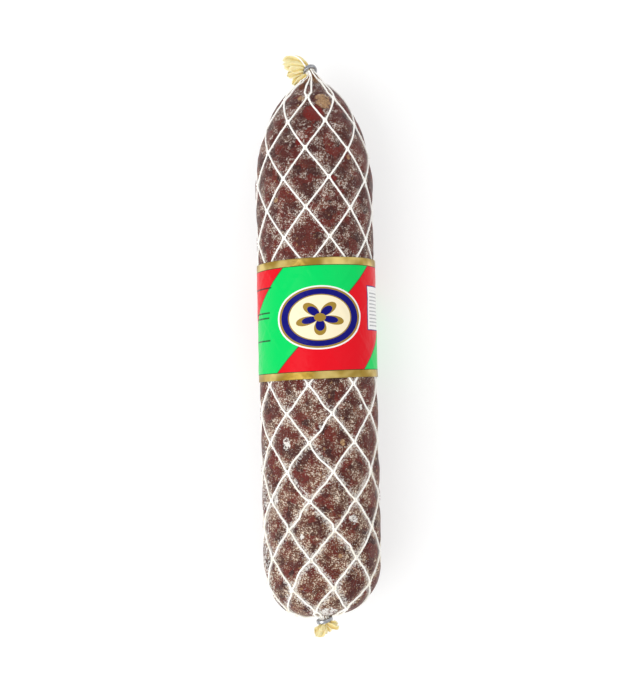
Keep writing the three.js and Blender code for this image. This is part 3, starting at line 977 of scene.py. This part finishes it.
class SAUSAGE_OT_label(bpy.types.Operator):
    """Builds the label band: a lapped paper cylinder with the net showing through as ridges"""
    bl_idname = "sausage.label"
    bl_label = "Label band"

    def execute(self, context):
        sizes = context.scene.sausage_label
        columns, rows = 420, 88
        cord_ridge, slack_depth, slack_cell = 1.3 * MM, 0.10 * MM, 14 * MM
        around = np.linspace(SEAM_START - 2 * math.pi, SEAM_START + SEAM_LAP, columns)
        along = np.linspace(-LABEL_WIDTH / 2, LABEL_WIDTH / 2, rows)
        angle, across = np.meshgrid(around, along, indexing="ij")
        tilt = sizes.tilt * np.sin(angle)
        place = LABEL_CENTRE + across + tilt
        arc = np.interp(place - BLUNT_END, PLACE_AT, ARC)
        near, far = cord_distances(angle, arc)
        cords = np.exp(-((np.minimum(near, far) / cord_ridge) ** 2))
        flat = skin_point(angle, arc, np.zeros_like(arc))
        slack = slack_depth * noise(flat, slack_cell, 21)
        lap = smooth_step(angle, SEAM_START - 0.10, SEAM_START + 0.02)
        underside = 1 - 0.8 * smooth_step(np.abs(np.mod(angle, 2 * math.pi) - math.pi), 0.9, 0.3)
        inner = PAPER_HEIGHT + (sizes.ridge * cords + slack) * underside + lap * (sizes.thickness + 0.05 * MM)
        inner = np.minimum(inner, LABEL_RADIUS - RADIUS - sizes.thickness)
        layers = [skin_point(angle, arc, inner + lift) for lift in (0.0, sizes.thickness)]
        printed = np.stack([np.degrees(angle), across / MM, np.zeros_like(angle)], axis=-1)
        count = columns * rows
        quads = grid_quads(columns, rows)
        rim = np.concatenate([np.arange(rows), np.arange(1, columns) * rows + rows - 1,
                              (columns - 1) * rows + np.arange(rows - 1)[::-1],
                              np.arange(1, columns - 1)[::-1] * rows])
        ahead = np.roll(rim, -1)
        sides = np.stack([rim, ahead, ahead + count, rim + count], axis=1)
        piece = add_mesh("label_band_paper", np.concatenate([layer.reshape(-1, 3) for layer in layers]),
                         [quads, quads[:, ::-1] + count, sides],
                         label_finish(context.scene.sausage_label_colours),
                         {"print": np.concatenate([printed, printed]).reshape(-1, 3)})
        recalculate(piece)
        register_piece(piece, "label_band")
        return {"FINISHED"}


CLIP_RADIUS = 4.3 * MM  # from the middle of the neck to the middle of the wire
CLIP_PASSING = 1.05 * MM  # how far each end of the wire is moved along the neck
WIRE_HALF_WIDTH, WIRE_HALF_DEPTH = 1.3 * MM, 0.95 * MM
WIRE_OVERLAP = 0.35  # past a full turn at each end, as an angle
END_ROUNDING = 0.16  # of the wire's ends, as an angle


def clip_wire(place, heading_angle, lean, sections=120, corners=16):
    """A closed wire clip round a neck: a ring of flat wire with a squarish section, its ends passing
    side by side, with fine ribs across it, and the whole ring leaning over by an angle."""
    turn = np.linspace(-WIRE_OVERLAP, 2 * math.pi + WIRE_OVERLAP, sections)
    centre, across, up = spine_frame(np.array([place]))
    across, up = across[0], up[0]
    forward = np.cross(up, across)
    forward, up = (forward * math.cos(lean) + up * math.sin(lean),
                   up * math.cos(lean) - forward * math.sin(lean))
    passing = smooth_step(turn, 2 * math.pi - 0.9, 2 * math.pi + 0.3) - smooth_step(-turn, -0.9, 0.3)
    around = turn + heading_angle
    flat = 1 + 0.06 * np.cos(2 * (around - heading_angle))
    direction = across * np.sin(around)[:, None] + up * np.cos(around)[:, None]
    path = (centre[0] + direction * (CLIP_RADIUS * flat)[:, None]
            + forward * (passing * CLIP_PASSING)[:, None])
    _, side, outward = path_frames(path, direction)
    corner = np.linspace(0, 2 * math.pi, corners, endpoint=False)[None, :]
    squarer = 0.55
    wide = np.sign(np.cos(corner)) * np.abs(np.cos(corner)) ** squarer
    tall = np.sign(np.sin(corner)) * np.abs(np.sin(corner)) ** squarer
    rib = 1 + 0.05 * np.cos(turn * 34)[:, None]
    from_end = np.minimum(turn - turn[0], turn[-1] - turn) / END_ROUNDING
    ends = np.sqrt(np.clip(1 - (1 - np.minimum(from_end, 1)) ** 2, 0.05, 1))[:, None]
    ring = (side[:, None] * (wide * WIRE_HALF_WIDTH * rib * ends)[..., None]
            + outward[:, None] * (tall * WIRE_HALF_DEPTH * rib * ends)[..., None])
    return path[:, None] + ring


class SAUSAGE_OT_clips(bpy.types.Operator):
    """Builds the two aluminium clips: ribbed flat wire closed round each neck"""
    bl_idname = "sausage.clips"
    bl_label = "Clips"

    def execute(self, context):
        finish = aluminium_finish()
        clips = (("bottom_clip_wire", "bottom_clip", -BLUNT_CLIP_AT, 2.2, 0.12),
                 ("top_clip_wire", "top_clip", LENGTH + TAPER_CLIP_AT, 3.4, -1.05))
        for name, node, place, heading_angle, lean in clips:
            tube = clip_wire(place, heading_angle, lean)
            piece = add_mesh(name, tube.reshape(-1, 3), tube_faces(*tube.shape[:2]), finish)
            recalculate(piece)
            register_piece(piece, node)
        return {"FINISHED"}


def petal(base, tip, bend, normal, width, pleats, seed, rows=34, columns=40):
    """A pleated lobe of film: a curve from base to tip by way of bend, as wide as a sine that opens
    from the neck, folded across as a cosine whose depth grows outwards, and crumpled by noise."""
    t = np.linspace(0, 1, rows)[:, None]
    s = np.linspace(-1, 1, columns)[None, :]
    spine = base * (1 - t) ** 2 + 2 * bend * t * (1 - t) + tip * t ** 2
    heading, side, up = path_frames(spine, np.broadcast_to(normal, spine.shape))
    opening = 0.22 + 0.78 * np.sin(np.clip(t * 1.15, 0, 1) * math.pi / 2) ** 1.2
    rounding = np.sqrt(np.clip(1 - np.clip((t - 0.72) / 0.30, 0, 1) ** 2, 0.06, 1))
    reach = width / 2 * opening * rounding
    drift = noise(np.stack(np.broadcast_arrays(t * 2, s * 1.5, 0 * t * s), axis=-1), 1.0, seed + 5)
    phase = s * pleats * math.pi + 1.6 * drift
    fold = np.cos(phase) * (0.75 * MM) * (0.6 + 0.4 * opening)
    cupped = -0.16 * width * s ** 2 * opening
    points = (spine[:, None] + side[:, None] * (s * reach)[..., None]
              + up[:, None] * (fold + cupped)[..., None])
    crumple = np.stack([noise(points, 3.2 * MM, seed + axis) for axis in range(3)], axis=-1)
    points = points + crumple * 0.8 * MM * t[..., None]
    torn = noise(np.stack(np.broadcast_arrays(0 * t, s * 4, 0 * t * s), axis=-1), 1.0, seed + 9)
    points = points + heading[:, None] * (torn * 0.09 * width * smooth_step(t, 0.6, 1.0))[..., None]
    # Where the film gets painted shade: the valleys of the folds and near the neck.
    pleat = np.clip((0.5 - 0.5 * np.cos(phase)) * 0.6 + 0.75 * (1 - t) ** 2, 0, 1)
    edge = np.maximum(smooth_step(np.abs(s), 0.86, 1.0), smooth_step(t, 0.93, 1.0))
    lay = np.stack(np.broadcast_arrays(pleat, edge, 0 * pleat), axis=-1)
    return points, lay


# The lobes that the film opens into past each clip: tip and bend from the middle of the clip, and
# width, in millimetres, then how many pleats and a seed.
TOP_LOBES = [((-17, 4.5, 3), (-5, 6.5, 5), 12, 2, 31), ((-15, -3, 1), (-8, 0, 4), 7, 2, 41),
             ((-11, -8.5, -1), (-5, -2.5, 2), 6.5, 2, 51), ((-13, 2, 4), (-5, 2, 5), 8, 2, 61)]
BOTTOM_LOBES = [((-6, -9, 2), (-1, -6, 3), 8, 2, 71), ((9, -2.5, 3), (4, -4, 3), 6.5, 2, 81),
                ((1.5, -8, 0), (0.5, -5, 2), 7, 2, 91), ((-3, -6, 4), (-1, -4, 4), 5, 1, 97)]


class SAUSAGE_OT_tails(bpy.types.Operator):
    """Builds the gathered ends of the casing past each clip: pleated lobes of dried film"""
    bl_idname = "sausage.tails"
    bl_label = "Tails"

    def execute(self, context):
        finish = film_finish(context.scene.sausage_skin_colours)
        top, _, _ = spine_frame(np.array([LENGTH + TAPER_CLIP_AT]))
        low, _, _ = spine_frame(np.array([-BLUNT_CLIP_AT]))
        for name, base, shapes in (("top_tail", top[0], TOP_LOBES), ("bottom_tail", low[0], BOTTOM_LOBES)):
            points, lays, quads, first = [], [], [], 0
            for tip, bend, width, pleats, seed in shapes:
                shape, lay = petal(base, base + np.array(tip) * MM, base + np.array(bend) * MM, UP,
                                   width * MM, pleats, seed)
                points.append(shape.reshape(-1, 3))
                lays.append(lay.reshape(-1, 3))
                quads.append(grid_quads(*shape.shape[:2]) + first)
                first += len(points[-1])
            piece = add_mesh(name, np.concatenate(points), [np.concatenate(quads)], finish,
                             {"lay": np.concatenate(lays)})
            wall = piece.modifiers.new("film_wall", "SOLIDIFY")
            wall.thickness = 0.35 * MM
            wall.offset = 0.0
            smoother = piece.modifiers.new("film_smooth", "SUBSURF")
            smoother.levels = smoother.render_levels = 1
            register_piece(piece, "casing")
        return {"FINISHED"}


class SAUSAGE_OT_filling(bpy.types.Operator):
    """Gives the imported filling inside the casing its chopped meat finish"""
    bl_idname = "sausage.filling"
    bl_label = "Filling"

    def execute(self, context):
        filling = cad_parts["meat_filling"]
        finish = filling_finish(context.scene.sausage_skin_colours)
        for slot in filling.material_slots:
            slot.material = finish
        return {"FINISHED"}


CAMERA_SIDE = 2.6 * MM  # how far right of the axis the camera looks
CAMERA_AIM = 172.6 * MM  # from the tapered end of the body to what the camera looks at
CAMERA_BACK = 36.9 * MM  # how far the camera stands back from above that point
CAMERA_ABOVE = 760 * MM


def facing(right, upward, back, place):
    """The matrix of a camera or light from its own three directions and its place."""
    columns = np.column_stack([right, upward, back, place])
    return Matrix(np.vstack([columns, [0, 0, 0, 1]]).tolist())


class SAUSAGE_OT_stage(bpy.types.Operator):
    """Sets the pale floor, the soft light and the camera"""
    bl_idname = "sausage.stage"
    bl_label = "Stage"

    def execute(self, context):
        scene, sizes = context.scene, context.scene.sausage_stage
        reach = 3.0
        corners = reach * np.array([[-1, -1, 0], [1, -1, 0], [1, 1, 0], [-1, 1, 0]])
        f = Finish("pale_floor")
        grain = f.noise(f.place(), 20 * MM, 2.0)
        paint = f.shine(Base_Color=f.mix(grain * 0.05, (0.5, 0.5, 0.5), (0.48, 0.48, 0.48)),
                        Roughness=0.9, Emission_Color=(1, 1, 1), Emission_Strength=0.53)
        floor = add_mesh("floor", corners, [np.array([[0, 1, 2, 3]])], paint, smooth=False)

        target = np.array([CAMERA_SIDE, TAPER_END - CAMERA_AIM, AXIS_HEIGHT])
        place = target + np.array([0.0, -CAMERA_BACK, CAMERA_ABOVE])
        forward = (target - place) / np.linalg.norm(target - place)
        right = np.cross(forward, [math.sin(sizes.roll), math.cos(sizes.roll), 0])
        right /= np.linalg.norm(right)
        upward = np.cross(right, forward)
        camera = bpy.data.objects.new("camera", bpy.data.cameras.new("camera"))
        scene.collection.objects.link(camera)
        camera.data.sensor_width = 36
        camera.data.sensor_fit = "HORIZONTAL"
        camera.data.lens = sizes.lens
        camera.data.clip_start, camera.data.clip_end = 0.01, 20
        camera.matrix_world = facing(right, upward, -forward, place)
        scene.camera = camera

        for name, spot, power, size in (("key", (-0.8, -0.4, 1.1), sizes.key, 1.2),
                                        ("counter", (0.9, 0.6, 1.0), sizes.key * 0.3, 1.4)):
            light = bpy.data.objects.new(name, bpy.data.lights.new(name, "AREA"))
            light.data.energy, light.data.size = power, size
            away = np.array(spot) - target
            away /= np.linalg.norm(away)
            flat = np.cross([0, 0, 1], away)
            flat /= np.linalg.norm(flat)
            rise = np.cross(away, flat)
            light.matrix_world = facing(flat, rise, away, spot)
            scene.collection.objects.link(light)

        world = scene.world or bpy.data.worlds.new("soft_light")
        scene.world = world
        world.use_nodes = True
        background = world.node_tree.nodes["Background"]
        background.inputs["Color"].default_value = (1, 1, 1, 1)
        background.inputs["Strength"].default_value = sizes.fill
        scene.view_settings.view_transform = "Standard"
        return {"FINISHED"}


class SAUSAGE_PT_panel(bpy.types.Panel):
    """Sizes, colours and the pieces that they make"""
    bl_label = "Netted sausage"
    bl_space_type = "VIEW_3D"
    bl_region_type = "UI"
    bl_category = "Sausage"

    def draw(self, context):
        for label, _ in SETTINGS:
            settings = getattr(context.scene, label)
            box = self.layout.box()
            for name in settings.__annotations__:
                box.prop(settings, name)
        for operator in OPERATORS:
            self.layout.operator(operator.bl_idname)


SETTINGS = (("sausage_skin", SkinSizes), ("sausage_cord", CordSizes), ("sausage_label", LabelSizes),
            ("sausage_skin_colours", SkinColours), ("sausage_cord_colours", CordColours),
            ("sausage_label_colours", LabelColours), ("sausage_stage", StageSizes))
OPERATORS = (SAUSAGE_OT_stage, SAUSAGE_OT_casing, SAUSAGE_OT_netting, SAUSAGE_OT_label,
             SAUSAGE_OT_clips, SAUSAGE_OT_tails, SAUSAGE_OT_filling)


def register():
    for label, settings in SETTINGS:
        bpy.utils.register_class(settings)
        setattr(bpy.types.Scene, label, bpy.props.PointerProperty(type=settings))
    for kind in (*OPERATORS, SAUSAGE_PT_panel):
        bpy.utils.register_class(kind)


def unregister():
    for kind in reversed((*OPERATORS, SAUSAGE_PT_panel)):
        bpy.utils.unregister_class(kind)
    for label, settings in reversed(SETTINGS):
        delattr(bpy.types.Scene, label)
        bpy.utils.unregister_class(settings)


def main():
    """Builds every piece in order."""
    register()
    for operator in OPERATORS:
        group, name = operator.bl_idname.split(".")
        getattr(getattr(bpy.ops, group), name)()
    bpy.context.view_layer.update()


if __name__ == "__main__":
    main()
